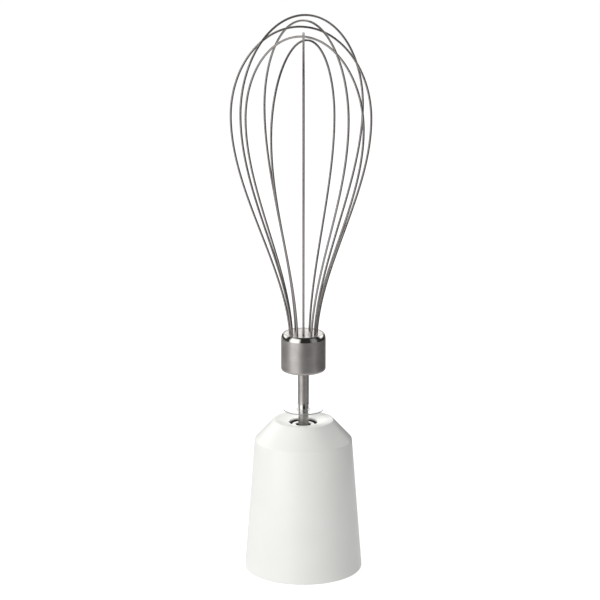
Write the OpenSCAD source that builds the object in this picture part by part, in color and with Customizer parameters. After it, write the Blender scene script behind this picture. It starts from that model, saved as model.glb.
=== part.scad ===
// Whisk attachment of a hand blender: a wire balloon whisk that plugs into a
// planetary reduction gearbox. It stands on the open mouth that takes the motor handle.
// +Z is up, the origin is the centre of the mouth's rim, and every size is in millimetres.

/* [Housing] */
// Radius of the housing at its mouth
base_r = 27; // [26.5:0.5:34]
// Radius of the housing at its shoulder
shoulder_r = 22.2; // [22:0.2:26]
// Height of the shoulder, where the straight side ends
shoulder_h = 61; // [58:1:74]
// Height of the bevel from the shoulder up to the top rim
bevel_h = 9.3; // [8:0.1:11]
// Radius of the top rim, where the bevel ends
rim_r = 13.6; // [13.2:0.2:15]
// Depth of the dish in the top, from the rim down to the opening
dish_depth = 1.15; // [0.6:0.05:1.6]
// Thickness of the housing wall
wall = 2.2; // [1.8:0.1:2.6]
// Radius that rounds the outer edge of the mouth
mouth_round = 0.6; // [0.3:0.1:1]
// Radius that rounds the shoulder
shoulder_round = 1.2; // [0.5:0.1:2]

/* [Coupling] */
// Height of the top of the collar that takes the neck of the motor handle
collar_h = 10.2; // [8.6:0.2:12.2]
// Radius of the collar's bore, which centres the neck
register_r = 20.8; // [20:0.1:21]
// Width of a bayonet slot
bayonet_w = 4; // [3:0.5:6]
// Depth of a bayonet slot into the collar's wall
bayonet_depth = 1; // [0.5:0.1:1.2]
// Angle that the neck turns through to lock
bayonet_turn = 18; // [15:1:24]
// Distance across the flats of the drive socket
drive_flats = 6.4; // [6:0.1:7]
// Depth of the drive socket
drive_depth = 6; // [5:0.5:6.5]
// Outer radius of the drive coupling
drive_r = 6; // [5.5:0.1:7]

/* [Gears] */
// Module of all the gears
gear_module = 0.5; // [0.48:0.01:0.52]
// Teeth of the sun, cut on the input pinion
sun_teeth = 9; // [9:1:9]
// Teeth of the ring gear
ring_teeth = 51; // [51:1:51]
// Pressure angle of the teeth
pressure_angle = 25; // [24:0.5:26]
// Thickness taken off each tooth for backlash
backlash = 0.06; // [0.04:0.01:0.1]
// Width of the planet gears' teeth
planet_t = 6.8; // [5:0.2:7]
// Radius of the planet pins
pin_r = 1; // [0.8:0.1:1.2]
// Rim of the ring gear outside its teeth
ring_rim = 1.2; // [1:0.1:1.4]

/* [Gear case] */
// Height of the gear case's flange above the mouth
case_z = 26.5; // [26:0.5:29]
// Wall of the gear case around the ring gear
case_wall = 1.6; // [1.4:0.1:1.8]
// Thickness of the case's flange
flange_t = 2; // [1.6:0.2:2.6]
// Thickness of the case's end wall
case_end_t = 2.5; // [2:0.1:3]
// Thickness of the cover
cover_t = 2.5; // [2:0.1:3]
// Thickness of the gasket under the flange
gasket_t = 0.4; // [0.3:0.1:0.6]
// Radius of a case screw's shank
screw_r = 1.05; // [0.9:0.05:1.2]

/* [Output] */
// Radius of the output sleeve, the hub seen in the dish
sleeve_r = 5.15; // [5:0.05:5.6]
// Radius of the output sleeve's bore
sleeve_bore_r = 3.5; // [3.3:0.1:3.6]
// How far the sleeve's end lies below the opening in the dish
sleeve_recess = 1.1; // [0.8:0.1:1.6]
// Gap between the sleeve and the opening around it
opening_gap = 1.25; // [1:0.05:1.4]
// Thickness of the carrier's two plates, the upper first
carrier_t = [2.8, 1.2];
// Wall of the bronze output bush
bush_wall = 1.8; // [1.6:0.1:2]
// Height of the lip seal
seal_h = 4.2; // [3.6:0.2:5]

/* [Whisk] */
// Diameter of the whisk shaft above the disc
shaft_d = 5; // [4.9:0.1:6]
// Diameter of the shaft's tail, which plugs into the drive socket
tail_d = 4.6; // [3.9:0.1:4.7]
// Depth of the tail below the rim of the housing
tail_depth = 27; // [24:0.5:28]
// Height of the splash disc above the rim of the housing
disc_gap = 4.55; // [3.5:0.05:8]
// Diameter of the splash disc
disc_d = 18.2; // [15:0.2:22]
// Thickness of the splash disc
disc_t = 0.5; // [0.4:0.1:0.8]
// Height of the ferrule's underside above the rim of the housing
ferrule_gap = 23.2; // [18:0.2:34]
// Diameter of the ferrule
ferrule_d = 20.2; // [19:0.2:25]
// Height of the ferrule
ferrule_h = 17.5; // [15:0.5:22]
// Width and height of the polished bevel at the top of the ferrule
ferrule_bevel = [0.9, 2.3];
// Radius that rounds the ferrule's lower edge
ferrule_round = 1.3; // [0.5:0.1:2]
// Wall of the ferrule at its mouth
ferrule_wall = 0.9; // [0.7:0.1:1.2]

/* [Wires] */
// Diameter of the wires
wire_d = 1; // [0.8:0.05:1.2]
// Radius of the ring on which the wires enter the ferrule
foot_r = 6.05; // [5.8:0.05:6.6]
// Height of the tallest loop above the ferrule
balloon_h = 144; // [120:1:173]
// Share of a loop's height at which it is widest
widest_share = 0.708; // [0.64:0.01:0.76]
// Share of a smooth S curve in the neck of a loop, the rest being a quarter sine
neck_blend = 0.82; // [0.6:0.02:1]
// Each loop: angle, drop below the tallest, half width, lean in its plane, lean across it
loops = [
    [0, 5.6, 31, -1.1, 0.2],
    [31, 0, 31.4, -1.8, -2.2],
    [63, 11.3, 30.8, -1.5, -0.8],
    [90, 8.7, 30.6, 0, 0],
    [126, 2.7, 31.4, -1.5, 0],
    [149, 10.1, 30.4, 0.3, -0.7]
];

/* [Fits] */
// Radial clearance where a piece turns in its bearing
running = 0.05; // [0.03:0.01:0.08]
// Radial clearance of the whisk's tail in the drive socket
sliding = 0.03; // [0.02:0.01:0.06]
// Gap along the shaft between pieces that turn past each other
end_play = 0.3; // [0.2:0.05:0.35]
// Gap where a piece is lowered into its seat
seat_gap = 0.05; // [0.03:0.01:0.08]

/* [Hidden] */
$fn = 64;
arc_steps = 6;
cut = 1;

// Housing levels.
housing_h = shoulder_h + bevel_h;
bevel_slope = bevel_h / (shoulder_r - rim_r);
bevel_inset = wall * sqrt(1 + bevel_slope * bevel_slope);
opening_r = sleeve_r + opening_gap;
opening_z = housing_h - dish_depth;
roof_z = opening_z - 2.65;
function outer_r(z) = base_r - (base_r - shoulder_r) * z / shoulder_h;
function inner_r(z) = outer_r(z) - wall;
function bevel_in(r) = housing_h + bevel_slope * (rim_r - r) - bevel_inset;

// Coupling levels.
collar_r = inner_r(collar_h) - 0.2;
collar_z = 0.8;
collar_flange_h = 2.2;
bayonet_count = 3;
bayonet_h = 3;
bayonet_top = collar_h - 1.8;

// Gear circles. The sun's teeth are shifted out and the planets' in, by shift modules.
planet_count = 3;
planet_teeth = (ring_teeth - sun_teeth) / 2;
shift = 0.25;
addendum = 0.9;
dedendum = 1.15;
function pitch_r(teeth) = gear_module * teeth / 2;
orbit_r = pitch_r(sun_teeth) + pitch_r(planet_teeth);
tip_gap = 0.25 * gear_module;
sun_tip_r = pitch_r(sun_teeth) + gear_module * (addendum + shift);
sun_root_r = pitch_r(sun_teeth) - gear_module * (dedendum - shift);
planet_tip_r = pitch_r(planet_teeth) + gear_module * (addendum - shift);
planet_root_r = pitch_r(planet_teeth) - gear_module * (dedendum + shift);
ring_tip_r = orbit_r + planet_root_r + tip_gap;
ring_root_r = orbit_r + planet_tip_r + tip_gap;
ring_r = ring_root_r + ring_rim;
function tooth_t(x) = gear_module * (PI / 2 + 2 * x * tan(pressure_angle));

// Gear case levels, from the cover up to the neck's top.
cover_z = case_z - gasket_t - cover_t;
lower_plate_z = case_z + 1.5;
planet_z = lower_plate_z + carrier_t[1] + end_play;
upper_plate_z = planet_z + planet_t + end_play;
washer_t = 0.5;
washer_z = upper_plate_z + carrier_t[0] + 0.1;
bush_flange_t = 0.8;
bush_flange_z = washer_z + washer_t + 0.1;
case_end_z = bush_flange_z + bush_flange_t;
neck_z = case_end_z + case_end_t;
neck_top = roof_z - end_play;
spigot_h = 1.2;
ring_z = case_z + spigot_h - gasket_t + 0.1;
ring_top = upper_plate_z + 0.4;
pocket_r = ring_r + seat_gap;
case_r = pocket_r + case_wall;
bush_bore_r = sleeve_r + running;
bush_r = bush_bore_r + bush_wall;
bush_h = 15;
seal_r = bush_r + 1;
seal_z = neck_top - seal_h;
neck_r = seal_r + 1.6;
skirt_gap = 0.2;
skirt_t = 1.6;
skirt_h = 8.5;
ring_section_r = 0.58;
ring_groove_depth = 1;
ring_groove_z = seal_z - 2.4;

// Screws that clamp the cover, gasket and case to the housing's posts.
screw_count = 3;
screw_angle = 60;
post_r = 2.3;
post_orbit = case_r + post_r + 0.2;
post_z = case_z + flange_t;
flange_r = min(inner_r(post_z) - 0.7, post_orbit + post_r + 0.6);
screw_hole_r = screw_r + 0.2;
pilot_r = screw_r + seat_gap;
screw_l = 14;
screw_head_r = 2.1;
screw_head_h = 1.6;

// Input shaft levels.
shaft_r = 2;
input_bush_r = shaft_r + 0.04 + 1.6;
input_bush_z = cover_z - 1.6;
input_flange_z = input_bush_z - 0.8;
input_washer_z = input_flange_z - 0.6;
coupling_top = input_washer_z - 0.1;
coupling_z = collar_h + 0.2;
coupling_neck_z = coupling_z + drive_depth + 1;
input_shaft_z = coupling_z + drive_depth + 0.5;
pinion_z = lower_plate_z;
circlip_z = case_z + 0.3;
circlip_t = 0.5;

// Output and whisk levels.
sleeve_top = opening_z - sleeve_recess;
socket_top = sleeve_top - 6;
socket_z = socket_top - 20;
flat_h = 6;
tail_r = tail_d / 2;
flat_half = 0.78 * tail_r;
tail_z = housing_h - tail_depth;
clip_z = socket_top - 6.5;
clip_t = 0.8;
clip_w = 0.5;
disc_z = housing_h + disc_gap;
disc_hub = [3, 1.2];
ferrule_z = housing_h + ferrule_gap;
ferrule_top = ferrule_z + ferrule_h;
ferrule_r = ferrule_d / 2;
ferrule_mouth_r = ferrule_r - ferrule_bevel[0] - ferrule_wall * 0.6;
ferrule_floor = 2.5;
plug_face_drop = 0.1;
foot_depth = 11;
shaft_top = ferrule_top - 4;
wire_r = wire_d / 2;

// ---- shared shapes ----

function unit(v) = v / norm(v);

// The corner b of an outline, between a and c, rounded with radius r.
function corner(a, b, c, r) = r == 0 ? [b] :
    let (
        u = unit(a - b),
        v = unit(c - b),
        half = acos(u * v) / 2,
        centre = b + unit(u + v) * r / sin(half),
        p = b + u * r / tan(half) - centre,
        q = b + v * r / tan(half) - centre,
        from = atan2(p.y, p.x),
        turn = atan2(p.x * q.y - p.y * q.x, p * q)
    )
    [for (i = [0:arc_steps]) let (a = from + turn * i / arc_steps) centre + r * [cos(a), sin(a)]];

// An outline whose points are [x, y, corner radius].
function rounded(points) = let (n = len(points), p = [for (q = points) [q.x, q.y]])
    [for (i = [0:n - 1]) each corner(p[(i + n - 1) % n], p[i], p[(i + 1) % n], points[i].z)];

module turned(points) {
    rotate_extrude() polygon(rounded(points));
}

// A plain ring between two radii.
module ring(r_in, r_out, z, h) {
    turned([[r_in, z, 0], [r_out, z, 0], [r_out, z + h, 0], [r_in, z + h, 0]]);
}

module around(count, start = 0) {
    for (i = [0:count - 1]) rotate([0, 0, start + i * 360 / count]) children();
}

module at_screws() {
    around(screw_count, screw_angle) translate([post_orbit, 0, 0]) children();
}

// ---- teeth ----

function involute(a) = tan(a) - a * PI / 180;

// Half the angle of a tooth, or of a ring gear's space, at radius r.
function tooth_half(teeth, t, r) = let (
        pitch = pitch_r(teeth),
        a = acos(min(1, pitch * cos(pressure_angle) / r))
    )
    (t / (2 * pitch) + involute(pressure_angle) - involute(a)) * 180 / PI;

// Outline of a gear, with a tooth centred on the X axis.
function gear_points(teeth, t, root_r, tip_r) = let (
        base = pitch_r(teeth) * cos(pressure_angle),
        start = max(base, root_r),
        flank = [root_r, each root_r < base ? [base] : [], (start + tip_r) / 2, tip_r],
        n = len(flank)
    )
    [for (i = [0:teeth - 1], k = [0:2 * n - 1])
        let (
            r = flank[k < n ? k : 2 * n - 1 - k],
            side = k < n ? -1 : 1,
            a = i * 360 / teeth + side * tooth_half(teeth, t, r)
        )
        r * [cos(a), sin(a)]];

// ---- housing body ----

module envelope() {
    turned([
        [0, 0, 0], [base_r, 0, mouth_round], [shoulder_r, shoulder_h, shoulder_round],
        [rim_r, housing_h, 0.6], [0, housing_h, 0]
    ]);
}

module post() {
    reach = inner_r(post_z) - post_orbit + wall / 2;
    difference() {
        union() {
            translate([0, 0, post_z]) cylinder(r = post_r, h = bevel_in(post_orbit) - post_z);
            translate([0, -0.8, post_z + 1]) cube([reach, 1.6, bevel_in(post_orbit) - post_z - 1]);
        }
        translate([0, 0, post_z - cut]) cylinder(r = pilot_r, h = screw_l + cut);
    }
}

module housing() {
    skirt_in = neck_r + skirt_gap;
    inner_shoulder = shoulder_r - wall;
    color("whitesmoke") {
        turned([
            [base_r - wall, 0, 0.4], [base_r, 0, mouth_round],
            [shoulder_r, shoulder_h, shoulder_round],
            [rim_r, housing_h, 0.6], [rim_r - 1, housing_h, 0.3],
            [opening_r, opening_z, 0.4], [opening_r, roof_z, 0],
            [skirt_in, roof_z, 0], [skirt_in, roof_z - skirt_h, 0.3],
            [skirt_in + skirt_t, roof_z - skirt_h, 0.3], [skirt_in + skirt_t, roof_z, 0.8],
            [rim_r + (housing_h - bevel_inset - roof_z) / bevel_slope, roof_z, 0],
            [inner_shoulder, bevel_in(inner_shoulder), 1]
        ]);
        intersection() {
            envelope();
            at_screws() post();
        }
    }
}

module bayonet_slot() {
    lane = register_r + bayonet_depth;
    entry = 2 * asin(bayonet_w / 2 / lane);
    rotate([0, 0, -entry / 2]) rotate_extrude(angle = entry)
        translate([register_r - cut, 0]) square([bayonet_depth + cut, bayonet_top]);
    rotate([0, 0, -entry / 2]) rotate_extrude(angle = entry + bayonet_turn)
        translate([register_r - cut, bayonet_top - bayonet_h]) square([bayonet_depth + cut, bayonet_h]);
}

module coupling_collar() {
    flange_edge = inner_r(collar_z + collar_flange_h) - 0.15;
    color("gainsboro") difference() {
        turned([
            [register_r, collar_z, 0.4], [flange_edge, collar_z, 0.3],
            [flange_edge, collar_z + collar_flange_h, 0.3], [collar_r, collar_z + collar_flange_h, 0],
            [collar_r, collar_h, 0.4], [register_r, collar_h, 0.4]
        ]);
        around(bayonet_count) bayonet_slot();
    }
}

module gear_case() {
    inner_step = ring_tip_r + 1.2;
    color("lightgray") difference() {
        turned([
            [pocket_r, case_z, 0], [flange_r, case_z, 0.4], [flange_r, post_z, 0.4],
            [case_r, post_z, 0], [case_r, neck_z, 0.8], [neck_r, neck_z, 0.8],
            [neck_r, ring_groove_z, 0], [neck_r - ring_groove_depth, ring_groove_z, 0],
            [neck_r - ring_groove_depth, ring_groove_z + 2 * ring_section_r + 0.2, 0],
            [neck_r, ring_groove_z + 2 * ring_section_r + 0.2, 0],
            [neck_r, neck_top, 0.3], [seal_r, neck_top, 0.3], [seal_r, seal_z, 0],
            [bush_r, seal_z, 0], [bush_r, case_end_z, 0],
            [inner_step, case_end_z, 0], [inner_step, ring_top, 0], [pocket_r, ring_top, 0]
        ]);
        at_screws() translate([0, 0, case_z - cut]) cylinder(r = screw_hole_r, h = flange_t + 2 * cut);
        around(3) ring_key(seat_gap);
    }
}

// One of the lugs that stop the ring gear from turning in its case.
module ring_key(gap) {
    translate([ring_r - 0.6, -1.5 - gap, ring_z]) cube([1.4 + gap, 3 + 2 * gap, ring_top - ring_z]);
}

module ring_gear() {
    color("ivory") {
        difference() {
            ring(ring_tip_r - 0.3, ring_r, ring_z, ring_top - ring_z);
            translate([0, 0, ring_z - cut]) linear_extrude(ring_top - ring_z + 2 * cut)
                polygon(gear_points(ring_teeth, tooth_t(-shift) + backlash, ring_tip_r, ring_root_r));
        }
        around(3) ring_key(0);
    }
}

module gear_case_cover() {
    seat_r = input_bush_r;
    boss_r = seat_r + 2;
    spigot_r = pocket_r - seat_gap - 0.1;
    color("lightgray") difference() {
        turned([
            [seat_r, input_bush_z, 0], [boss_r, input_bush_z, 0.4], [boss_r, cover_z, 0.5],
            [flange_r, cover_z, 0.4], [flange_r, cover_z + cover_t, 0.4],
            [spigot_r, cover_z + cover_t, 0], [spigot_r, cover_z + cover_t + spigot_h, 0.2],
            [spigot_r - 1.4, cover_z + cover_t + spigot_h, 0.2], [spigot_r - 1.4, cover_z + cover_t, 0],
            [seat_r, cover_z + cover_t, 0]
        ]);
        at_screws() translate([0, 0, cover_z - cut]) cylinder(r = screw_hole_r, h = cover_t + 2 * cut);
    }
}

module case_gasket() {
    color("darkgreen") difference() {
        ring(pocket_r, flange_r, case_z - gasket_t, gasket_t);
        at_screws() translate([0, 0, case_z - gasket_t - cut])
            cylinder(r = screw_hole_r, h = gasket_t + 2 * cut);
    }
}

module case_screw() {
    head_z = cover_z - screw_head_h;
    difference() {
        turned([
            [0, head_z, 0], [screw_head_r, head_z, 0.7], [screw_head_r, cover_z, 0],
            [screw_r, cover_z, 0], [screw_r, cover_z + screw_l, 0.5], [0, cover_z + screw_l, 0]
        ]);
        for (a = [0, 90]) rotate([0, 0, a])
            translate([-1.3, -0.3, head_z - cut]) cube([2.6, 0.6, cut + 0.9]);
    }
}

module case_screws() {
    color("silver") at_screws() case_screw();
}

module input_bush() {
    flange_edge = input_bush_r + 1.4;
    bore = shaft_r + 0.04;
    color("darkgoldenrod") turned([
        [bore, input_flange_z, 0], [flange_edge, input_flange_z, 0.2],
        [flange_edge, input_bush_z, 0], [input_bush_r, input_bush_z, 0],
        [input_bush_r, cover_z + cover_t, 0], [bore, cover_z + cover_t, 0]
    ]);
}

module output_bush() {
    flange_edge = bush_r + 1.6;
    color("darkgoldenrod") turned([
        [bush_bore_r, bush_flange_z, 0], [flange_edge, bush_flange_z, 0.2],
        [flange_edge, case_end_z, 0], [bush_r, case_end_z, 0],
        [bush_r, case_end_z + bush_h, 0], [bush_bore_r, case_end_z + bush_h, 0]
    ]);
}

module output_seal() {
    lip = 0.9;
    dust_r = opening_r - 0.1;
    dust_in = sleeve_r + 0.6;
    dust_top = opening_z - 0.7;
    color("dimgray") turned([
        [bush_bore_r, seal_z + lip, 0], [bush_bore_r + 1, seal_z, 0], [seal_r, seal_z, 0],
        [seal_r, neck_top, 0.3], [dust_r, neck_top, 0.2], [dust_r, dust_top, 0.15],
        [dust_in, dust_top, 0.15], [dust_in, seal_z + 2.4, 0.2],
        [bush_bore_r, seal_z + 2.4 - lip, 0]
    ]);
}

module neck_o_ring() {
    centre = neck_r - ring_groove_depth + ring_section_r + 0.02;
    color("black") translate([0, 0, ring_groove_z + ring_section_r + 0.1])
        rotate_extrude() translate([centre, 0]) circle(r = ring_section_r);
}

// ---- input body ----

module drive_coupling() {
    skirt_r = drive_r - 1;
    color("black") difference() {
        turned([
            [0, coupling_z, 0], [drive_r, coupling_z, 0.5], [drive_r, coupling_neck_z, 0.3],
            [skirt_r, coupling_neck_z + 1, 0], [skirt_r, coupling_top, 0.5], [0, coupling_top, 0]
        ]);
        translate([0, 0, coupling_z - cut])
            cylinder(r = drive_flats / 2 / cos(30), h = drive_depth + cut, $fn = 6);
        translate([0, 0, input_shaft_z]) cylinder(r = shaft_r, h = coupling_top - coupling_z);
    }
}

module input_pinion() {
    groove_r = shaft_r - 0.3;
    top = upper_plate_z - end_play;
    color("silver") union() {
        turned([
            [0, input_shaft_z, 0], [shaft_r, input_shaft_z, 0.3],
            [shaft_r, circlip_z, 0], [groove_r, circlip_z, 0],
            [groove_r, circlip_z + circlip_t, 0], [shaft_r, circlip_z + circlip_t, 0],
            [shaft_r, pinion_z, 0], [0, pinion_z, 0]
        ]);
        translate([0, 0, pinion_z]) linear_extrude(top - pinion_z)
            polygon(gear_points(sun_teeth, tooth_t(shift) - backlash, sun_root_r, sun_tip_r));
    }
}

module input_circlip() {
    color("dimgray") translate([0, 0, circlip_z + 0.05]) rotate([0, 0, 30]) rotate_extrude(angle = 300)
        translate([shaft_r - 0.3, 0]) square([1.2, circlip_t - 0.1]);
}

module input_washer() {
    color("white") ring(shaft_r + seat_gap, shaft_r + 2.2, input_washer_z, 0.5);
}

// ---- carrier body ----

module planet_carrier() {
    plate_r = ring_tip_r - end_play;
    top = upper_plate_z + carrier_t[0];
    color("whitesmoke") difference() {
        turned([
            [sleeve_bore_r, upper_plate_z, 0], [plate_r, upper_plate_z, 0.3], [plate_r, top, 0.3],
            [sleeve_r, top, 0], [sleeve_r, sleeve_top, 0.25], [sleeve_bore_r, sleeve_top, 0.25]
        ]);
        around(planet_count) translate([orbit_r, 0, upper_plate_z - cut])
            cylinder(r = pin_r, h = carrier_t[0] + 2 * cut);
    }
}

module carrier_plate() {
    plate_r = ring_tip_r - 2 * end_play;
    color("silver") difference() {
        ring(sun_tip_r + 2 * end_play, plate_r, lower_plate_z, carrier_t[1]);
        around(planet_count) translate([orbit_r, 0, lower_plate_z - cut])
            cylinder(r = pin_r, h = carrier_t[1] + 2 * cut);
    }
}

module planet_pins() {
    color("silver") around(planet_count) translate([orbit_r, 0, 0])
        turned([
            [0, lower_plate_z, 0], [pin_r, lower_plate_z, 0.2],
            [pin_r, upper_plate_z + carrier_t[0], 0.2], [0, upper_plate_z + carrier_t[0], 0]
        ]);
}

module output_washer() {
    color("white") ring(bush_bore_r, bush_r + 1.4, washer_z, washer_t);
}

// A round bar of radius r with two flats, each half apart from the middle.
module two_flats(r, half, h) {
    intersection() {
        cylinder(r = r, h = h);
        translate([-r - cut, -half, 0]) cube([2 * (r + cut), 2 * half, h]);
    }
}

module drive_socket() {
    bore = tail_r + sliding;
    guard_r = sleeve_bore_r - 0.5;
    color("dimgray") difference() {
        turned([
            [0, socket_z, 0], [sleeve_bore_r, socket_z, 0.3],
            [sleeve_bore_r, sleeve_top - 0.4, 0.15], [guard_r, sleeve_top - 0.4, 0.15],
            [guard_r, socket_top, 0], [0, socket_top, 0]
        ]);
        translate([0, 0, socket_z + flat_h]) cylinder(r = bore, h = socket_top - socket_z);
        translate([0, 0, socket_z - cut]) two_flats(bore, flat_half + sliding, flat_h + 2 * cut);
        translate([0, 0, clip_z - 0.1]) cylinder(r = bore + clip_w + 0.15, h = clip_t + 0.2);
    }
}

module retaining_clip() {
    color("silver") translate([0, 0, clip_z]) rotate([0, 0, 30]) rotate_extrude(angle = 300)
        translate([tail_r + sliding, 0]) square([clip_w, clip_t]);
}

module planet_gear(i) {
    color("ivory") rotate([0, 0, (i - 1) * 360 / planet_count]) translate([orbit_r, 0, planet_z])
        difference() {
            linear_extrude(planet_t)
                polygon(gear_points(planet_teeth, tooth_t(-shift) - backlash, planet_root_r, planet_tip_r));
            translate([0, 0, -cut]) cylinder(r = pin_r + running, h = planet_t + 2 * cut);
        }
}

// ---- whisk body ----

module whisk_shaft() {
    step_z = socket_z + flat_h + 0.05;
    groove_r = tail_r - 0.3;
    color("silver") {
        turned([
            [0, step_z, 0], [tail_r, step_z, 0], [tail_r, clip_z - 0.2, 0], [groove_r, clip_z, 0],
            [groove_r, clip_z + clip_t, 0], [tail_r, clip_z + clip_t + 0.2, 0],
            [tail_r, disc_z + disc_t, 0], [shaft_d / 2, disc_z + disc_t, 0.05],
            [shaft_d / 2, shaft_top, 0.3], [0, shaft_top, 0]
        ]);
        translate([0, 0, tail_z]) two_flats(tail_r, flat_half, step_z - tail_z);
    }
}

module splash_disc() {
    color("aliceblue", 0.4) turned([
        [tail_r, disc_z + disc_t - disc_hub[1], 0], [disc_hub[0], disc_z + disc_t - disc_hub[1], 0.2],
        [disc_hub[0], disc_z, 0], [disc_d / 2, disc_z, 0.2], [disc_d / 2, disc_z + disc_t, 0.2],
        [tail_r, disc_z + disc_t, 0]
    ]);
}

module ferrule() {
    color("silver") turned([
        [shaft_d / 2, ferrule_z, 0.2], [ferrule_r, ferrule_z, ferrule_round],
        [ferrule_r, ferrule_top - ferrule_bevel[1], 0.3],
        [ferrule_r - ferrule_bevel[0], ferrule_top, 0.25], [ferrule_mouth_r, ferrule_top, 0.1],
        [ferrule_mouth_r, ferrule_z + ferrule_floor, 0], [shaft_d / 2, ferrule_z + ferrule_floor, 0]
    ]);
}

module wire_plug() {
    face_z = ferrule_top - plug_face_drop;
    color("gainsboro") difference() {
        turned([
            [0, ferrule_z + ferrule_floor, 0], [ferrule_mouth_r, ferrule_z + ferrule_floor, 0],
            [ferrule_mouth_r, face_z, 0.15], [0, face_z, 0]
        ]);
        translate([0, 0, ferrule_z]) cylinder(r = shaft_d / 2, h = shaft_top - ferrule_z);
        for (w = loops, side = [0, 180]) rotate([0, 0, w[0] + side])
            translate([foot_r, 0, face_z - foot_depth]) cylinder(r = wire_r + 0.02, h = foot_depth + cut);
    }
}

// ---- wires ----

neck_steps = 13;
crown_steps = 13;

// Half of a loop as [radius, height above the ferrule], from its foot to its top.
function half_loop(w) = let (
        h = balloon_h - w[1],
        widest = h * widest_share
    )
    [
        for (i = [0:neck_steps - 1]) let (
            t = i / neck_steps,
            s = neck_blend * t * t * (3 - 2 * t) + (1 - neck_blend) * sin(90 * t)
        )
        [foot_r + (w[2] - foot_r) * s, widest * t],
        for (i = [0:crown_steps]) let (a = 90 * i / crown_steps)
        [w[2] * cos(a), widest + (h - widest) * sin(a)]
    ];

// The wire's middle line from foot to foot, leaning more the higher it is.
function wire_path(w) = let (
        up = half_loop(w),
        n = len(up),
        widest = (balloon_h - w[1]) * widest_share,
        flat = [
            [foot_r, -foot_depth],
            each up,
            for (i = [n - 2:-1:0]) [-up[i].x, up[i].y],
            [-foot_r, -foot_depth]
        ]
    )
    [for (p = flat) let (
            lean = max(0, p.y) / widest,
            x = p.x + w[3] * lean,
            y = w[4] * lean
        )
        [x * cos(w[0]) - y * sin(w[0]), x * sin(w[0]) + y * cos(w[0]), ferrule_top - plug_face_drop + p.y]];

// A round bar swept along a path that lies nearly in one plane.
module swept(path, r, sides = 8) {
    n = len(path);
    middle = path[floor(n / 2)];
    across = unit(cross(path[0] - middle, path[n - 1] - middle));
    points = [for (i = [0:n - 1]) let (
            along = unit(path[min(i + 1, n - 1)] - path[max(i - 1, 0)]),
            v = unit(cross(across, along)),
            u = cross(along, v)
        )
        for (k = [0:sides - 1]) path[i] + r * (cos(360 * k / sides) * u + sin(360 * k / sides) * v)];
    faces = concat(
        [for (i = [0:n - 2], k = [0:sides - 1]) let (a = i * sides + k, b = i * sides + (k + 1) % sides)
            [a, a + sides, b + sides]],
        [for (i = [0:n - 2], k = [0:sides - 1]) let (a = i * sides + k, b = i * sides + (k + 1) % sides)
            [a, b + sides, b]],
        [[for (k = [0:sides - 1]) k]],
        [[for (k = [sides - 1:-1:0]) (n - 1) * sides + k]]
    );
    polyhedron(points, faces);
}

module whisk_wire(i) {
    color("silver") swept(wire_path(loops[i - 1]), wire_r);
}

housing();
coupling_collar();
gear_case();
gear_case_cover();
case_gasket();
case_screws();
ring_gear();
input_bush();
output_bush();
output_seal();
neck_o_ring();
drive_coupling();
input_pinion();
input_circlip();
input_washer();
planet_carrier();
carrier_plate();
planet_pins();
output_washer();
drive_socket();
retaining_clip();
for (i = [1:planet_count]) planet_gear(i);
whisk_shaft();
splash_disc();
ferrule();
wire_plug();
for (i = [1:len(loops)]) whisk_wire(i);
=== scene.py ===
import math

import bmesh
import bpy
from mathutils import Matrix, Vector


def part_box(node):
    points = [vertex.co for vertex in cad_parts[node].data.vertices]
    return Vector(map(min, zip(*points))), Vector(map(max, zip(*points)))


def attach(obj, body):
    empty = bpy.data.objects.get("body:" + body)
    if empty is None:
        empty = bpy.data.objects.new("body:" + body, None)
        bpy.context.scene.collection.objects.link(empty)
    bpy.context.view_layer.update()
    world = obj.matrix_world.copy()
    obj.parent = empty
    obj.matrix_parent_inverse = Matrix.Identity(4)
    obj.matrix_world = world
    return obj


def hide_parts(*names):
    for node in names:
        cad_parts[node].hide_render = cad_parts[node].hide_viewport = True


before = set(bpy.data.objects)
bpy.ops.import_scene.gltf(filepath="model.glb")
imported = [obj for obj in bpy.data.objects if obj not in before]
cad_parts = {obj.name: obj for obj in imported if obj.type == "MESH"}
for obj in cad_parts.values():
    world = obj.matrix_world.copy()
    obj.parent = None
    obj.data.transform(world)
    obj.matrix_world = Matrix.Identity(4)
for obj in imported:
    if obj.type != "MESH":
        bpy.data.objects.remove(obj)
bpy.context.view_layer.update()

# ---- Gearbox housing ----
# One thin-walled cone of white ABS, injection moulded, with a bevelled shoulder and a
# shallow dish around the output sleeve. Three ribbed posts inside it take the case screws.

MM = 0.001
BASE_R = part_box("housing")[1].x / MM
HOUSING_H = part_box("housing")[1].z / MM
WALL = 2.2
SHOULDER_R = 22.2
SHOULDER_H = 61.0
RIM_R = 13.6
RIM_W = 1.0
OPENING_R = 6.4
DISH_DEPTH = 1.15
ROOF_T = 2.65
OPENING_Z = HOUSING_H - DISH_DEPTH
ROOF_Z = OPENING_Z - ROOF_T
SKIRT_R = 9.8
SKIRT_T = 1.6
SKIRT_H = 8.5
# The depth of the opening's top lip, which keeps the bright outer white; below it the bore takes
# the painted shade.
UNSHADED_LIP_DEPTH = 1.0
BEVEL_SLOPE = (HOUSING_H - SHOULDER_H) / (SHOULDER_R - RIM_R)
BEVEL_INSET = WALL * math.hypot(1, BEVEL_SLOPE)
POST_R = 2.3
POST_ORBIT = 18.55
POST_Z = 28.5
POST_PILOT_R = 1.1
POST_PILOT_H = 14.0
RIB_T = 1.6
RIB_TAPER = 0.88
RIB_SET_BACK = 1.0
SCREW_COUNT = 3
SCREW_START = 60.0
# Posts and ribs run this share of a wall's thickness into it, and a cut this far past a face.
INTO_WALL = 0.6
CUT_PAST = 1.0
# The longest straight run, in millimetres, that keeps the shading flat beside a rounded corner.
LONGEST_RUN = 0.05


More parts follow.
